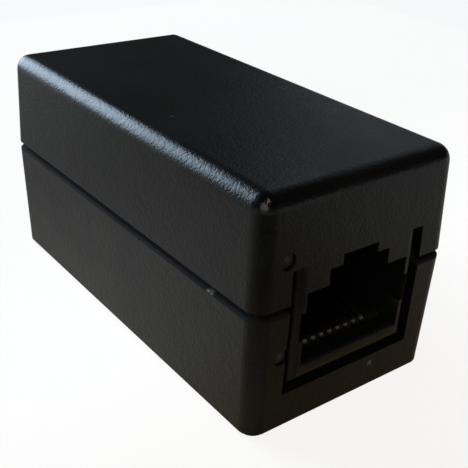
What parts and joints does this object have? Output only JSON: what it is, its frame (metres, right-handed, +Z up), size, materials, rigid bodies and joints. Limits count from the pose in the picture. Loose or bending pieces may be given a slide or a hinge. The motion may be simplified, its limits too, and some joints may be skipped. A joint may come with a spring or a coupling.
{
  "type": "rj45 inline coupler",
  "caption": "Black two-shell in-line coupler with a modular eight-way jack in each end, wired straight through.",
  "frame": {"origin": "middle of the underside", "axes": "+X along the box towards the front jack, +Z up towards the cover"},
  "size_m": [0.0468, 0.023, 0.0238],
  "materials": {
    "black_abs": "fine spark texture",
    "black_insert": "satin",
    "gilt_contact": "polished gilt",
    "insulation_white": "smooth",
    "insulation_orange": "smooth",
    "insulation_blue": "smooth",
    "insulation_green": "smooth",
    "insulation_brown": "smooth"
  },
  "bodies": {
    "root": {"upper_shell": "black_abs", "lower_shell": "black_abs", "front_jack_insert": "black_insert", "rear_jack_insert": "black_insert", "front_contact_1": "gilt_contact", "front_contact_2": "gilt_contact", "front_contact_3": "gilt_contact", "front_contact_4": "gilt_contact", "front_contact_5": "gilt_contact", "front_contact_6": "gilt_contact", "front_contact_7": "gilt_contact", "front_contact_8": "gilt_contact", "rear_contact_1": "gilt_contact", "rear_contact_2": "gilt_contact", "rear_contact_3": "gilt_contact", "rear_contact_4": "gilt_contact", "rear_contact_5": "gilt_contact", "rear_contact_6": "gilt_contact", "rear_contact_7": "gilt_contact", "rear_contact_8": "gilt_contact", "link_wire_1": "insulation_white", "link_wire_2": "insulation_orange", "link_wire_3": "insulation_white", "link_wire_4": "insulation_blue", "link_wire_5": "insulation_white", "link_wire_6": "insulation_green", "link_wire_7": "insulation_white", "link_wire_8": "insulation_brown"}
  },
  "joints": []
}
